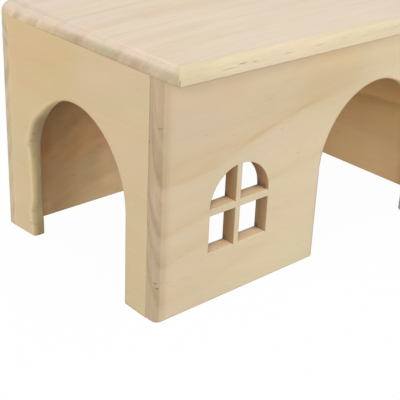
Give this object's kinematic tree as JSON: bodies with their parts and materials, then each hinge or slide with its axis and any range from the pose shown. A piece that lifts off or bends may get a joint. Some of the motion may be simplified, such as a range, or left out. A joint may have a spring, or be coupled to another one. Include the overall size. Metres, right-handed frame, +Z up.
{
  "type": "wooden hamster house",
  "caption": "Open-bottomed pine hide with a flat roof, arched doorways in the front and left walls and an arched window with cross bars.",
  "frame": {"origin": "on the floor, at the middle of the roof's outline", "axes": "+Z up, +X from the left end with the doorway to the plain right end, +Y from the front to the back"},
  "size_m": [0.25, 0.157, 0.1395],
  "materials": {
    "pine_front": "sanded, untreated, grain along the length",
    "pine_back": "sanded, untreated, grain along the length",
    "pine_ends": "sanded, untreated",
    "pine_roof": "sanded, untreated, rounded upper edges",
    "beech_dowel": "fluted, glued in"
  },
  "bodies": {
    "root": {"front_wall": "pine_front", "back_wall": "pine_back", "left_wall": "pine_ends", "right_wall": "pine_ends", "roof": "pine_roof", "front_left_dowel_1": "beech_dowel", "front_left_dowel_2": "beech_dowel", "front_left_dowel_3": "beech_dowel", "front_right_dowel_1": "beech_dowel", "front_right_dowel_2": "beech_dowel", "front_right_dowel_3": "beech_dowel", "back_left_dowel_1": "beech_dowel", "back_left_dowel_2": "beech_dowel", "back_left_dowel_3": "beech_dowel", "back_right_dowel_1": "beech_dowel", "back_right_dowel_2": "beech_dowel", "back_right_dowel_3": "beech_dowel", "roof_front_dowel_1": "beech_dowel", "roof_front_dowel_2": "beech_dowel", "roof_front_dowel_3": "beech_dowel", "roof_back_dowel_1": "beech_dowel", "roof_back_dowel_2": "beech_dowel", "roof_back_dowel_3": "beech_dowel", "roof_left_dowel_1": "beech_dowel", "roof_left_dowel_2": "beech_dowel", "roof_right_dowel_1": "beech_dowel", "roof_right_dowel_2": "beech_dowel"}
  },
  "joints": []
}
